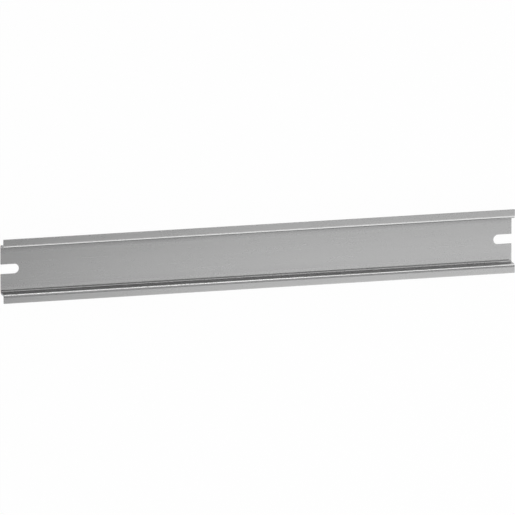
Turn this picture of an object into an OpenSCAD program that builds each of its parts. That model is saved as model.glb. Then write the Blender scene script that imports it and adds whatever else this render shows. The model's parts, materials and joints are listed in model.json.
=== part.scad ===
// Top-hat mounting rail: one strip of zinc-plated steel, roll-formed to a hat section
// and cut to length, with an open-ended fixing slot punched in the web at each end.
//
// Frame, in millimetres: X runs along the rail and Y across it. The back of the web, which
// lies against the mounting panel, is at Z = 0, and the flanges face +Z. The origin is
// the middle of the web's back.

/* [Section] */
// Overall width, from the free edge of one flange to that of the other
rail_width = 35; // [33:0.5:45]
// Outside width of the hat, across its two side walls
hat_width = 27; // [25:0.5:29]
// Depth, from the back of the web to the front of the flanges
rail_depth = 7.5; // [7:0.5:15]

/* [Strip] */
// Thickness of the steel strip
strip_thickness = 1; // [0.8:0.1:1.5]
// Inside radius of the four bends
bend_radius = 0.8; // [0.5:0.1:1.2]

/* [Length] */
// Length of the rail, end to end
rail_length = 285; // [60:1:2000]

/* [Fixing slots] */
// Width of each slot
slot_width = 5.4; // [4.2:0.1:8]
// Distance from the end of the rail to the centre of the slot's round end
slot_inset = 7.5; // [4:0.5:20]

/* [Hidden] */
$fn = 96;

// Every bend turns through a right angle, so it takes up its outside radius both ways.
bend_outside = bend_radius + strip_thickness;
// Half the width of the web's flat stretch, between its two bends
web_half = hat_width / 2 - bend_outside;
// Height of the back of the flanges above the back of the web
flange_back = rail_depth - strip_thickness;
// Distance from the middle of the rail to the start of a flange's flat stretch
flange_start = hat_width / 2 + bend_radius;
// How far a cutter runs past the face that it cuts
cut_past = 1;

// Quarter of a ring: the section of a bend, in the quadrant of +x and +y from its centre.
module bend() {
    intersection() {
        difference() {
            circle(r = bend_outside);
            circle(r = bend_radius);
        }
        square(bend_outside);
    }
}

// From the end of the web's flat stretch to the free edge of one flange.
module half_section() {
    // web to side wall: its centre lies inside the hat
    translate([web_half, bend_outside])
        mirror([0, 1])
            bend();
    // side wall
    translate([hat_width / 2 - strip_thickness, bend_outside])
        square([strip_thickness, rail_depth - 2 * bend_outside]);
    // side wall to flange: its centre lies behind the flange
    translate([flange_start, rail_depth - bend_outside])
        mirror([1, 0])
            bend();
    // flange
    translate([flange_start, flange_back])
        square([rail_width / 2 - flange_start, strip_thickness]);
}

// The whole hat, with the web along x and the flanges' side up.
module section() {
    translate([-web_half, 0])
        square([2 * web_half, strip_thickness]);
    for (side = [0, 1])
        mirror([side, 0])
            half_section();
}

// The rail as it leaves the rolls, cut square at both ends.
module formed_strip() {
    rotate([90, 0, 90])
        linear_extrude(height = rail_length, center = true)
            section();
}

// Punch for the slot at the +X end: a round nose, and straight sides that run out of the end.
module slot_punch() {
    punch_height = strip_thickness + 2 * cut_past;
    translate([rail_length / 2 - slot_inset, 0, -cut_past]) {
        cylinder(d = slot_width, h = punch_height);
        translate([0, -slot_width / 2, 0])
            cube([slot_inset + cut_past, slot_width, punch_height]);
    }
}

module rail() {
    color("darkgray")
        difference() {
            formed_strip();
            for (end = [0, 1])
                mirror([end, 0, 0])
                    slot_punch();
        }
}

rail();
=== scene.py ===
import json
from math import pi, radians

import bmesh
import bpy
from mathutils import Euler, Matrix, Vector


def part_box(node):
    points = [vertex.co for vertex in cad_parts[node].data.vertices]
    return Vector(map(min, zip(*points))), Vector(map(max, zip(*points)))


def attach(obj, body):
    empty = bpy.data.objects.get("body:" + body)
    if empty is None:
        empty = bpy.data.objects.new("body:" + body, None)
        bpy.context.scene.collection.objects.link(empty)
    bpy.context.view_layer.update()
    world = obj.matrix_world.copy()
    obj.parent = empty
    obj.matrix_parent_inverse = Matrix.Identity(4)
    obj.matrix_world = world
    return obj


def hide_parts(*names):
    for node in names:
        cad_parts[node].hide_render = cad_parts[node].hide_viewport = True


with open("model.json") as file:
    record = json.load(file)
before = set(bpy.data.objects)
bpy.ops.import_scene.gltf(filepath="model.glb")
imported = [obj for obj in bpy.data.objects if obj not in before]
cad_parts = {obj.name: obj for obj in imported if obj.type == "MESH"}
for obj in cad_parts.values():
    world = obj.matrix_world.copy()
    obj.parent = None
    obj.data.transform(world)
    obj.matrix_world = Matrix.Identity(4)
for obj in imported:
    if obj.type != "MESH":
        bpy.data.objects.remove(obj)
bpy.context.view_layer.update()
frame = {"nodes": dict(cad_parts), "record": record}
print("frame loaded:", sorted(frame["nodes"]))

scene = bpy.context.scene
scene.view_settings.view_transform = "Standard"

railLow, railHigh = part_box("rail")
railSize = railHigh - railLow                                   # along X, across Y, deep in Z
mounts = {mount["name"]: mount for mount in frame["record"]["mounts"]}
slotMount = mounts["fixing_slot_pos_x"]
slotRadius = slotMount["dims"]["hole_r_mm"] / 1000
slotCentre = slotMount["pos_m"][0]

cameraValues = {
    "laidBack": -90,          # the rail lies on its back, so the upright view turns with it
    "turn": -15.45,           # round the upright rail, to its left
    "tilt": 12.49,            # above it
    "roll": -0.04,
    "distance": 8.07,         # a long way off, so the rail hardly narrows to its far end
    "seesTo": 4,              # times that
    "lens": 1049.1,
    "aimAside": (-0.000627, -0.001276),
}


def makeCamera(v):
    data = bpy.data.cameras.new("railCamera")
    camera = bpy.data.objects.new("railCamera", data)
    scene.collection.objects.link(camera)
    scene.camera = camera
    data.lens = v["lens"]
    data.clip_end = v["seesTo"] * v["distance"]
    upright = Euler((radians(90 - v["tilt"]), 0, radians(v["turn"]))).to_matrix()
    laidBack = Matrix.Rotation(radians(v["laidBack"]), 3, "X")
    turned = laidBack @ upright @ Matrix.Rotation(radians(v["roll"]), 3, "Z")
    away = turned @ Vector((*v["aimAside"], v["distance"]))
    camera.matrix_world = Matrix.Translation((railLow + railHigh) / 2 + away) @ turned.to_4x4()


makeCamera(cameraValues)
print("camera placed")


def startFresh():
    # an operator acts on all that is selected, and the CAD nodes still are
    if bpy.context.mode != "OBJECT":
        bpy.ops.object.mode_set(mode="OBJECT")
    bpy.ops.object.select_all(action="DESELECT")


def startEditing(obj):
    startFresh()
    obj.select_set(True)
    bpy.context.view_layer.objects.active = obj
    bpy.ops.object.mode_set(mode="EDIT")


def pick(obj, kind, wanted):
    # selects the wanted edges or faces, and nothing else
    bpy.ops.mesh.select_mode(type=kind)
    bpy.ops.mesh.select_all(action="DESELECT")
    editMesh = bmesh.from_edit_mesh(obj.data)
    editMesh.normal_update()
    parts = editMesh.edges if kind == "EDGE" else editMesh.faces
    for part in parts:
        if wanted(part):
            part.select_set(True)
    editMesh.select_flush_mode()
    bmesh.update_edit_mesh(obj.data)


def applyModifier(obj, name, kind, **settings):
    modifier = obj.modifiers.new(name, kind)
    for key, value in settings.items():
        setattr(modifier, key, value)
    bpy.context.view_layer.objects.active = obj
    bpy.ops.object.modifier_apply(modifier=name)


railValues = {
    "hatWidth": 0.027,        # outside, across the two side walls
    "strip": 0.001,           # thickness of the steel
    "insideBend": 0.0008,
    "bendSteps": 20,          # faces round each quarter turn
    "slotSteps": 72,          # faces round a whole circle
    "punchDepth": 0.006,
    "weld": 1e-7,             # corners that the punching leaves closer than this become one
    "frontRound": 0.000045,   # the punch and the shears draw the front edges in
    "backRound": 0.00004,
    "roundSteps": 3,
    "sharpFrom": 40,          # degrees between two faces
    "smoothBelow": 32,
    "flatWeight": 100,        # how far the big faces keep their own shading beside small ones
}
near = 1e-6                   # places closer than this are one place
facing = 0.9                  # a face looks along an axis where this much of its normal does


def spinBend(v, centreY, centreZ, angle):
    # the picked edge sweeps a quarter turn round a line along X
    centre = (0, centreY, centreZ)
    bpy.ops.mesh.spin(
        steps=v["bendSteps"], angle=radians(angle), center=centre, axis=(1, 0, 0), use_auto_merge=False
    )


def makeHalfSheet(v):
    # the middle of the strip's thickness, from the rail's centre line to one free edge
    length, width, depth = railSize
    outsideBend = v["insideBend"] + v["strip"]
    webHalf = v["hatWidth"] / 2 - outsideBend
    flangeStart = v["hatWidth"] / 2 + v["insideBend"]
    startFresh()
    bpy.ops.mesh.primitive_plane_add(size=1)
    sheet = bpy.context.object
    sheet.name = "rail_strip"
    bpy.ops.object.mode_set(mode="EDIT")
    bpy.ops.transform.resize(value=(length, webHalf, 1))
    bpy.ops.transform.translate(value=(0, webHalf / 2, v["strip"] / 2))
    pick(sheet, "EDGE", lambda edge: all(vert.co.y > webHalf - near for vert in edge.verts))
    spinBend(v, webHalf, outsideBend, -90)
    bpy.ops.mesh.extrude_region_move(TRANSFORM_OT_translate={"value": (0, 0, depth - 2 * outsideBend)})
    spinBend(v, flangeStart, depth - outsideBend, 90)
    bpy.ops.mesh.extrude_region_move(TRANSFORM_OT_translate={"value": (0, width / 2 - flangeStart, 0)})
    bpy.ops.mesh.select_all(action="SELECT")
    bpy.ops.mesh.remove_doubles(threshold=near)
    bpy.ops.mesh.normals_make_consistent(inside=False)
    bpy.ops.object.mode_set(mode="OBJECT")
    return sheet


def makeSlotPunch(v):
    # round nose at the slot's centre, drawn out past the rail's end
    startFresh()
    centre = (slotCentre, 0, v["strip"] / 2)
    bpy.ops.mesh.primitive_cylinder_add(
        vertices=v["slotSteps"], radius=slotRadius, depth=v["punchDepth"], location=centre
    )
    punch = bpy.context.object
    punch.name = "slotPunch"
    bpy.ops.object.transform_apply(location=True, rotation=True, scale=True)
    bpy.ops.object.mode_set(mode="EDIT")
    pick(punch, "FACE", lambda face: face.calc_center_median().x > slotCentre + near)
    bpy.ops.mesh.extrude_region_move(TRANSFORM_OT_translate={"value": (railHigh.x - slotCentre, 0, 0)})
    bpy.ops.mesh.select_all(action="SELECT")
    bpy.ops.mesh.normals_make_consistent(inside=False)
    bpy.ops.object.mode_set(mode="OBJECT")
    applyModifier(punch, "otherEnd", "MIRROR", use_axis=(True, False, False))
    return punch


def isSharp(edge, v):
    return len(edge.link_faces) == 2 and edge.calc_face_angle(0) > radians(v["sharpFrom"])


def isCut(face):
    # sheared end, slit edge or the wall of a slot
    centre, normal = face.calc_center_median(), face.normal
    atEnd = abs(abs(centre.x) - railHigh.x) < near and abs(normal.x) > facing
    atFreeEdge = abs(abs(centre.y) - railHigh.y) < near and abs(normal.y) > facing
    inSlot = abs(centre.y) < slotRadius + near and abs(centre.x) > slotCentre - slotRadius - near
    return atEnd or atFreeEdge or (inSlot and abs(normal.z) < 1 - facing)


def isBack(face):
    # the strip's back looks down, or outwards from a side wall
    side = 1 if face.calc_center_median().y > 0 else -1
    return not isCut(face) and side * face.normal.y - face.normal.z > 0


def meetsBack(edge):
    return any(isBack(face) for face in edge.link_faces)


def makeRail(v):
    rail = makeHalfSheet(v)
    applyModifier(rail, "otherHalf", "MIRROR", use_axis=(False, True, False), merge_threshold=near)
    applyModifier(rail, "thickness", "SOLIDIFY", thickness=v["strip"], offset=0, use_even_offset=True)
    punch = makeSlotPunch(v)
    applyModifier(rail, "slots", "BOOLEAN", operation="DIFFERENCE", solver="EXACT", object=punch)
    bpy.data.objects.remove(punch)
    startEditing(rail)
    bpy.ops.mesh.select_all(action="SELECT")
    bpy.ops.mesh.remove_doubles(threshold=v["weld"])
    bpy.ops.mesh.normals_make_consistent(inside=False)
    pick(rail, "EDGE", lambda edge: isSharp(edge, v) and not meetsBack(edge))
    bpy.ops.mesh.bevel(offset=v["frontRound"], segments=v["roundSteps"], affect="EDGES")
    pick(rail, "EDGE", lambda edge: isSharp(edge, v) and meetsBack(edge))
    bpy.ops.mesh.bevel(offset=v["backRound"], segments=v["roundSteps"], affect="EDGES")
    bpy.ops.object.mode_set(mode="OBJECT")
    return rail


def finishRail(rail, v, plate, cutSteel):
    rail.data.materials.append(plate)
    rail.data.materials.append(cutSteel)
    startEditing(rail)
    pick(rail, "FACE", isCut)
    rail.active_material_index = 1                              # the cut steel
    bpy.ops.object.material_slot_assign()
    bpy.ops.object.mode_set(mode="OBJECT")
    bpy.ops.object.shade_smooth_by_angle(angle=radians(v["smoothBelow"]))
    shading = {"mode": "FACE_AREA", "weight": v["flatWeight"], "keep_sharp": True}
    applyModifier(rail, "flatsStayFlat", "WEIGHTED_NORMAL", **shading)
    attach(rail, "root")
    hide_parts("rail")


def feed(tree, socket, value):
    # a link where it comes from another node, else a plain value
    if isinstance(value, bpy.types.NodeSocket):
        tree.links.new(value, socket)
    else:
        socket.default_value = value


def mathOf(tree, operation, *values):
    node = tree.nodes.new("ShaderNodeMath")
    node.operation = operation
    for socket, value in zip(node.inputs, values):
        feed(tree, socket, value)
    return node.outputs[0]


def centredOf(tree, mask):
    # from -0.5 to 0.5, so that it adds as much as it takes away
    return mathOf(tree, "SUBTRACT", mask, 0.5)


def sumOf(tree, base, masks, amounts):
    # base plus each mask named in amounts, times its amount
    total = base
    for name, amount in amounts.items():
        total = mathOf(tree, "MULTIPLY_ADD", masks[name], amount, total)
    return total


def rangeOf(tree, value, low, high, toLow=0.0, toHigh=1.0, kind="LINEAR"):
    node = tree.nodes.new("ShaderNodeMapRange")
    node.interpolation_type = kind
    for socket, given in zip(node.inputs, (value, low, high, toLow, toHigh)):
        feed(tree, socket, given)
    return node.outputs["Result"]


def splitOf(tree, vector):
    node = tree.nodes.new("ShaderNodeSeparateXYZ")
    feed(tree, node.inputs[0], vector)
    return node.outputs


def joinOf(tree, x, y, z):
    node = tree.nodes.new("ShaderNodeCombineXYZ")
    for socket, value in zip(node.inputs, (x, y, z)):
        feed(tree, socket, value)
    return node.outputs[0]


def lengthOf(tree, x, y):
    # how long a line is that goes x one way and y the other
    node = tree.nodes.new("ShaderNodeVectorMath")
    node.operation = "LENGTH"
    feed(tree, node.inputs[0], joinOf(tree, x, y, 0.0))
    return node.outputs["Value"]


def noiseOf(tree, place, along, across, detail, roughness):
    # its features are about "along" metres long in X, and "across" metres in Y and Z
    perAlong = mathOf(tree, "DIVIDE", 1.0, along)
    perAcross = mathOf(tree, "DIVIDE", 1.0, across)
    scaled = tree.nodes.new("ShaderNodeVectorMath")
    scaled.operation = "MULTIPLY"
    feed(tree, scaled.inputs[0], place)
    feed(tree, scaled.inputs[1], joinOf(tree, perAlong, perAcross, perAcross))
    noise = tree.nodes.new("ShaderNodeTexNoise")
    noise.inputs["Scale"].default_value = 1
    noise.inputs["Detail"].default_value = detail
    noise.inputs["Roughness"].default_value = roughness
    feed(tree, noise.inputs["Vector"], scaled.outputs[0])
    return noise.outputs["Fac"]


def newGroup(name, inputs, output):
    tree = bpy.data.node_groups.new(name, "ShaderNodeTree")
    tree.interface.new_socket(name="Place", in_out="INPUT", socket_type="NodeSocketVector")
    for label in inputs:
        tree.interface.new_socket(name=label, in_out="INPUT", socket_type="NodeSocketFloat")
    tree.interface.new_socket(name=output, in_out="OUTPUT", socket_type="NodeSocketFloat")
    given = tree.nodes.new("NodeGroupInput").outputs
    result = tree.nodes.new("NodeGroupOutput").inputs[output]
    return tree, given, result


def groupOf(tree, group, place, **values):
    node = tree.nodes.new("ShaderNodeGroup")
    node.node_tree = group
    feed(tree, node.inputs["Place"], place)
    for label, value in values.items():
        feed(tree, node.inputs[label], value)
    return node.outputs[0]


effectValues = {
    "streakNoise": (3, 0.6),  # detail and roughness, here and below
    "streakRange": (0.3, 0.7),  # of the noise, spread out from 0 to 1
    "blotchNoise": (4, 0.55),
    "blotchRange": (0.32, 0.68),
    "blotchStretch": 1.7,     # how much longer than wide
    "biteNoise": (3, 0.6),
    "biteRange": (0.3, 0.7),
    "biteLong": 0.0016,
    "biteWide": 0.0009,
    "biteReach": (0.25, 1.6),  # times the reach that the rubbing is given
    "markNoise": (1, 0.5),
    "markLong": 0.022,
    "markWide": 0.00022,
    "markFrom": 0.84,         # of the noise, less the share that is given
    "markFull": 0.86,
}


def makeStreaks(v):
    # long faint lines along X, as the mill's rolls or a blade leave them
    tree, given, result = newGroup("streaks", ("Spacing", "Length"), "Streaks")
    lines = noiseOf(tree, given["Place"], given["Length"], given["Spacing"], *v["streakNoise"])
    feed(tree, result, rangeOf(tree, lines, *v["streakRange"]))
    return tree


def makeBlotches(v):
    # cloudy patches, a little longer than wide
    tree, given, result = newGroup("blotches", ("Size",), "Blotches")
    longer = mathOf(tree, "MULTIPLY", given["Size"], v["blotchStretch"])
    patches = noiseOf(tree, given["Place"], longer, given["Size"], *v["blotchNoise"])
    feed(tree, result, rangeOf(tree, patches, *v["blotchRange"], kind="SMOOTHSTEP"))
    return tree


def makeRub(v):
    # 1 at the rail's outline and round its slots, fading inwards, and broken up
    inputs = ("HalfLength", "HalfWidth", "SlotCentre", "SlotRadius", "Reach")
    tree, given, result = newGroup("rub", inputs, "Rub")
    place = splitOf(tree, given["Place"])
    fromMiddle = mathOf(tree, "ABSOLUTE", place["X"])
    toEnd = mathOf(tree, "SUBTRACT", given["HalfLength"], fromMiddle)
    toSide = mathOf(tree, "SUBTRACT", given["HalfWidth"], mathOf(tree, "ABSOLUTE", place["Y"]))
    beforeSlot = mathOf(tree, "MAXIMUM", mathOf(tree, "SUBTRACT", given["SlotCentre"], fromMiddle), 0.0)
    toSlot = mathOf(tree, "SUBTRACT", lengthOf(tree, beforeSlot, place["Y"]), given["SlotRadius"])
    nearest = mathOf(tree, "MINIMUM", mathOf(tree, "MINIMUM", toEnd, toSide), toSlot)
    bites = noiseOf(tree, given["Place"], v["biteLong"], v["biteWide"], *v["biteNoise"])
    uneven = rangeOf(tree, bites, *v["biteRange"], *v["biteReach"])
    reach = mathOf(tree, "MULTIPLY", given["Reach"], uneven)
    feed(tree, result, rangeOf(tree, nearest, 0.0, reach, 1.0, 0.0))
    return tree


def makeHairlines(v):
    # few fine marks from handling, all leaning one way
    tree, given, result = newGroup("hairlines", ("Lean", "Share"), "Hairlines")
    turned = tree.nodes.new("ShaderNodeVectorRotate")
    turned.rotation_type = "Z_AXIS"
    feed(tree, turned.inputs["Vector"], given["Place"])
    feed(tree, turned.inputs["Angle"], given["Lean"])
    marks = noiseOf(tree, turned.outputs[0], v["markLong"], v["markWide"], *v["markNoise"])
    lowest = mathOf(tree, "SUBTRACT", v["markFrom"], given["Share"])
    feed(tree, result, rangeOf(tree, marks, lowest, v["markFull"]))
    return tree


streaks = makeStreaks(effectValues)
blotches = makeBlotches(effectValues)
rub = makeRub(effectValues)
hairlines = makeHairlines(effectValues)
print("effects made")

reliefUnit = 1e-6             # a relief of 1 stands a thousandth of a millimetre high


def newMetal(name, grazing):
    material = bpy.data.materials.new(name)
    material.use_nodes = True
    tree = material.node_tree
    shader = tree.nodes["Principled BSDF"]
    shader.inputs["Metallic"].default_value = 1
    shader.inputs["Specular Tint"].default_value = (grazing, grazing, grazing, 1)
    place = tree.nodes.new("ShaderNodeTexCoord").outputs["Object"]
    return material, tree, shader, place


def bumpOf(tree, shader, relief):
    bump = tree.nodes.new("ShaderNodeBump")
    bump.inputs["Distance"].default_value = reliefUnit
    feed(tree, bump.inputs["Height"], relief)
    feed(tree, shader.inputs["Normal"], bump.outputs["Normal"])


plateValues = {
    "tone": 0.45,
    "grazing": 0.85,          # how bright it stays, seen along its surface
    "roughness": 0.30,
    "fineSpacing": 0.00030,
    "fineLength": 0.06,
    "bandSpacing": 0.0019,
    "bandLength": 0.35,
    "patchSize": 0.013,
    "grainSize": 0.00045,
    "rubReach": 0.0006,
    "hairlineShare": 0.035,
    "leans": (5, -9),         # degrees off the rail's length
    "rolledFrom": 0.0085,     # off the centre line, the forming rolls' burnish starts here,
    "rolledFull": 0.0120,     # is full from here
    "rolledUntil": 0.0136,    # to here, in the bend into the flange,
    "rolledTo": 0.0143,       # and ends where the flange is flat
    "wallFrom": 0.0121,       # the channel's side walls
    "wallFull": 0.0125,
    "lowUntil": 0.5,          # shares of the rail's depth: up to here it is low in the channel,
    "lowTo": 0.9,             # and from here it isn't
    # what the strip's own texture adds, and how much of that the rolls leave
    "textureTint": {"patches": 0.025, "bands": 0.015, "fine": 0.025, "grain": 0.02},
    "textureRoughness": {"patches": 0.03, "fine": 0.05, "grain": 0.04},
    "textureRelief": {"fine": 1.2, "bands": 1.5, "grain": 0.6},
    "textureLeft": 0.08,
    # what wear and forming add, and the painted shade that darkens the channel's corners and its side walls
    "wornAndShadeTint": {"rubbed": 0.05, "scratched": 0.06, "cornerShade": -0.12, "wall": -0.10},
    "wornRoughness": {"rubbed": -0.06, "scratched": -0.07, "rolled": -0.16},
    "wornRelief": {"scratched": -1.5},
}


def plateTexture(tree, v, place):
    masks = {
        "fine": groupOf(tree, streaks, place, Spacing=v["fineSpacing"], Length=v["fineLength"]),
        "bands": groupOf(tree, streaks, place, Spacing=v["bandSpacing"], Length=v["bandLength"]),
        "patches": groupOf(tree, blotches, place, Size=v["patchSize"]),
        "grain": groupOf(tree, blotches, place, Size=v["grainSize"]),
    }
    return {name: centredOf(tree, mask) for name, mask in masks.items()}


def plateWearAndShade(tree, v, place):
    outline = {
        "HalfLength": railHigh.x,
        "HalfWidth": railHigh.y,
        "SlotCentre": slotCentre,
        "SlotRadius": slotRadius,
        "Reach": v["rubReach"],
    }
    marks = [
        groupOf(tree, hairlines, place, Lean=radians(lean), Share=v["hairlineShare"]) for lean in v["leans"]
    ]
    at = splitOf(tree, place)
    aside = mathOf(tree, "ABSOLUTE", at["Y"])
    fromWeb = rangeOf(tree, aside, v["rolledFrom"], v["rolledFull"], kind="SMOOTHSTEP")
    toFlange = rangeOf(tree, aside, v["rolledUntil"], v["rolledTo"], 1.0, 0.0, "SMOOTHSTEP")
    onWall = rangeOf(tree, aside, v["wallFrom"], v["wallFull"], kind="SMOOTHSTEP")
    lowUntil, lowTo = v["lowUntil"] * railHigh.z, v["lowTo"] * railHigh.z
    low = rangeOf(tree, at["Z"], lowUntil, lowTo, 1.0, 0.0, "SMOOTHSTEP")
    return {
        "rubbed": groupOf(tree, rub, place, **outline),
        "scratched": mathOf(tree, "MAXIMUM", *marks),
        "rolled": mathOf(tree, "MULTIPLY", fromWeb, toFlange),
        # painted shade: the web beside the side walls, low in the channel, is painted darker
        "cornerShade": mathOf(tree, "MULTIPLY", fromWeb, low),
        # painted shade: the side walls, low in the channel, are painted darker
        "wall": mathOf(tree, "MULTIPLY", onWall, low),
    }


def makeZincPlate(v):
    material, tree, shader, place = newMetal("zincPlate", v["grazing"])
    texture = plateTexture(tree, v, place)
    wearAndShade = plateWearAndShade(tree, v, place)
    textureLeft = rangeOf(tree, wearAndShade["rolled"], 0.0, 1.0, 1.0, v["textureLeft"])

    tint = sumOf(tree, 0.0, texture, v["textureTint"])
    tint = mathOf(tree, "MULTIPLY_ADD", tint, textureLeft, 1.0)
    # wear lightens the rubbed and scratched places; painted shade darkens the channel's corners and walls
    tint = sumOf(tree, tint, wearAndShade, v["wornAndShadeTint"])
    feed(tree, shader.inputs["Base Color"], mathOf(tree, "MULTIPLY", tint, v["tone"]))

    roughness = sumOf(tree, 0.0, texture, v["textureRoughness"])
    roughness = mathOf(tree, "MULTIPLY_ADD", roughness, textureLeft, v["roughness"])
    feed(tree, shader.inputs["Roughness"], sumOf(tree, roughness, wearAndShade, v["wornRoughness"]))

    relief = sumOf(tree, 0.0, texture, v["textureRelief"])
    relief = sumOf(tree, relief, wearAndShade, v["wornRelief"])
    bumpOf(tree, shader, mathOf(tree, "MULTIPLY", relief, textureLeft))
    return material


cutValues = {
    "tone": 0.43,
    "tornTone": 0.88,         # share of the tone on the part that broke away
    "grazing": 0.55,
    "burnished": 0.22,        # roughness of the sheared part
    "torn": 0.48,             # and of the part that broke away
    "shearedShare": 0.42,     # of the thickness, from the front
    "lineWanders": 0.2,       # up and down, as a share of the thickness
    "lineSoftness": 0.04,
    "wanderSize": 0.0011,
    "crumbSize": 0.00009,
    "crumbRelief": 3.5,
    "dragSpacing": 0.00009,
    "dragLength": 0.0012,
    "cutTint": {"sheared": 0.16, "drags": 0.08, "crumbs": 0.08},
    "cutRoughness": {"drags": 0.08},
    "cutRelief": {"drags": 1.2, "sheared": 6.0},
}


def throughOf(tree, v, at):
    # how deep in the strip, from 0 at its back to 1 at its front, round both bends too
    outsideBend = v["insideBend"] + v["strip"]
    midBend = outsideBend - v["strip"] / 2
    wallMiddle = (v["hatWidth"] - v["strip"]) / 2
    halfDepth = railHigh.z / 2
    upper = mathOf(tree, "GREATER_THAN", at["Z"], halfDepth)
    # the upper bend is the lower one turned half round the middle of the wall
    sign = mathOf(tree, "MULTIPLY_ADD", upper, -2.0, 1.0)
    offWall = mathOf(tree, "SUBTRACT", mathOf(tree, "ABSOLUTE", at["Y"]), wallMiddle)
    beyond = mathOf(tree, "MULTIPLY_ADD", offWall, sign, midBend)
    level = mathOf(tree, "MULTIPLY", mathOf(tree, "SUBTRACT", at["Z"], halfDepth), sign)
    below = mathOf(tree, "SUBTRACT", outsideBend - halfDepth, level)
    fromBend = lengthOf(tree, mathOf(tree, "MAXIMUM", beyond, 0.0), mathOf(tree, "MAXIMUM", below, 0.0))
    deep = mathOf(tree, "SUBTRACT", outsideBend, fromBend)
    share = mathOf(tree, "DIVIDE", deep, v["strip"])
    return mathOf(tree, "MULTIPLY_ADD", share, sign, upper)


def makeCutSteel(v):
    material, tree, shader, place = newMetal("cutSteel", v["grazing"])
    at = splitOf(tree, place)
    # the sheared part and the torn part meet along a wandering line
    wander = centredOf(tree, groupOf(tree, blotches, place, Size=v["wanderSize"]))
    line = mathOf(tree, "MULTIPLY_ADD", wander, v["lineWanders"], 1 - v["shearedShare"])
    overLine = mathOf(tree, "SUBTRACT", throughOf(tree, railValues, at), line)
    sheared = rangeOf(tree, overLine, -v["lineSoftness"], v["lineSoftness"])
    torn = mathOf(tree, "SUBTRACT", 1.0, sheared)
    # the blade went along Z, and so do its drag marks
    alongBlade = joinOf(tree, at["Z"], at["X"], at["Y"])
    drags = groupOf(tree, streaks, alongBlade, Spacing=v["dragSpacing"], Length=v["dragLength"])
    crumbs = groupOf(tree, blotches, place, Size=v["crumbSize"])
    masks = {"sheared": sheared, "drags": centredOf(tree, drags), "crumbs": centredOf(tree, crumbs)}

    tint = sumOf(tree, v["tornTone"], masks, v["cutTint"])
    feed(tree, shader.inputs["Base Color"], mathOf(tree, "MULTIPLY", tint, v["tone"]))
    roughness = rangeOf(tree, sheared, 0.0, 1.0, v["torn"], v["burnished"])
    feed(tree, shader.inputs["Roughness"], sumOf(tree, roughness, masks, v["cutRoughness"]))
    relief = mathOf(tree, "MULTIPLY", crumbs, mathOf(tree, "MULTIPLY", torn, v["crumbRelief"]))
    bumpOf(tree, shader, sumOf(tree, relief, masks, v["cutRelief"]))
    return material


rail = makeRail(railValues)
print("rail made:", len(rail.data.vertices), "vertices")
finishRail(rail, railValues, makeZincPlate(plateValues), makeCutSteel(cutValues))
print("rail finished")

floorValues = {
    "size": 12,
    "tone": 0.85,
    "whiteShare": 0.98,       # what the camera and the metal see of it as plain white
}


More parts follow.
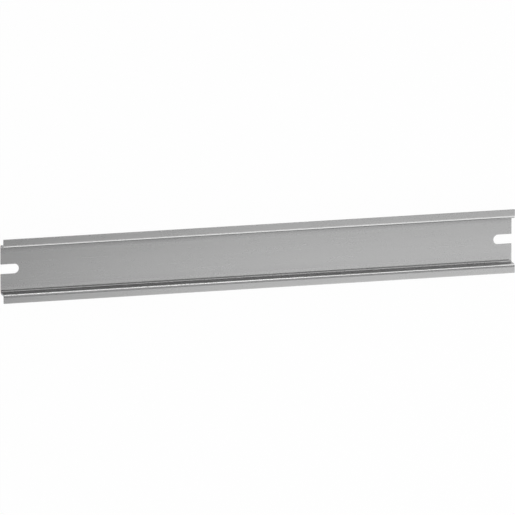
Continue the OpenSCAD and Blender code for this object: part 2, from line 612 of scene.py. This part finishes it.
def makeFloor(v):
    startFresh()
    bpy.ops.mesh.primitive_plane_add(size=v["size"], location=(0, 0, railLow.z))
    floor = bpy.context.object
    floor.name = "floor"
    material = bpy.data.materials.new("paleFloor")
    material.use_nodes = True
    tree = material.node_tree
    tree.nodes.clear()
    paper = tree.nodes.new("ShaderNodeBsdfDiffuse")
    paper.inputs["Color"].default_value = (v["tone"], v["tone"], v["tone"], 1)
    white = tree.nodes.new("ShaderNodeEmission")
    rays = tree.nodes.new("ShaderNodeLightPath").outputs
    mirrored = mathOf(tree, "MAXIMUM", rays["Is Glossy Ray"], rays["Is Transmission Ray"])
    direct = mathOf(tree, "MAXIMUM", rays["Is Camera Ray"], mirrored)
    lit = tree.nodes.new("ShaderNodeMixShader")
    feed(tree, lit.inputs[0], mathOf(tree, "MULTIPLY", direct, v["whiteShare"]))
    feed(tree, lit.inputs[1], paper.outputs[0])
    feed(tree, lit.inputs[2], white.outputs[0])
    # from below the floor is clear, so that the rail's back can be looked at
    clear = tree.nodes.new("ShaderNodeBsdfTransparent")
    side = tree.nodes.new("ShaderNodeMixShader")
    feed(tree, side.inputs[0], tree.nodes.new("ShaderNodeNewGeometry").outputs["Backfacing"])
    feed(tree, side.inputs[1], lit.outputs[0])
    feed(tree, side.inputs[2], clear.outputs[0])
    feed(tree, tree.nodes.new("ShaderNodeOutputMaterial").inputs["Surface"], side.outputs[0])
    floor.data.materials.append(material)


makeFloor(floorValues)
print("floor made")

lightValues = {
    "overhead": 0.30,         # the sky's strength from "skyFrom" up
    "horizon": 0.95,
    "skyFrom": 0.5,
    "panels": {               # place, size, strength, and whether it looks straight down
        "overRight": ((0.475, -0.335, 0.48), (0.75, 0.63), 0.17, True),
        "overFront": ((0.40, -0.20, 0.45), (0.90, 0.20), 0.99, True),
        "overRail": ((0.275, 0.00, 0.28), (0.65, 0.06), 0.22, True),
        "frontHigh": ((0.20, -0.77, 0.64), (1.60, 0.25), 1.70, False),
        "frontLow": ((0.20, -0.91, 0.42), (1.60, 0.25), 1.31, False),
        "backHigh": ((0.20, 0.42, 0.91), (1.20, 0.20), 0.72, False),
        "back": ((0.20, 0.87, 0.50), (1.20, 0.20), 1.96, False),
        "backRight": ((0.55, 0.97, 0.26), (0.60, 0.20), 1.99, False),
        "backLeft": ((0.00, 1.00, 0.07), (0.60, 0.12), 5.29, False),
    },
}


def makeSky(v):
    world = bpy.data.worlds.new("studio")
    scene.world = world
    world.use_nodes = True
    tree = world.node_tree
    sky = tree.nodes["Background"]
    sky.inputs["Color"].default_value = (1, 1, 1, 1)
    upward = splitOf(tree, tree.nodes.new("ShaderNodeTexCoord").outputs["Generated"])["Z"]
    strength = rangeOf(tree, upward, 0.0, v["skyFrom"], v["horizon"], v["overhead"], "SMOOTHSTEP")
    feed(tree, sky.inputs["Strength"], strength)


def makePanel(name, place, size, strength, down):
    data = bpy.data.lights.new(name, "AREA")
    data.shape = "RECTANGLE"
    data.size, data.size_y = size
    data.energy = strength * pi * size[0] * size[1]             # as bright whatever its size
    panel = bpy.data.objects.new(name, data)
    scene.collection.objects.link(panel)
    panel.location = place
    panel.rotation_mode = "QUATERNION"
    towards = Vector((0, 0, -1)) if down else -Vector(place)
    panel.rotation_quaternion = towards.to_track_quat("-Z", "Y")
    panel.visible_camera = False


makeSky(lightValues)
for name, values in lightValues["panels"].items():
    makePanel(name, *values)
print("light set")
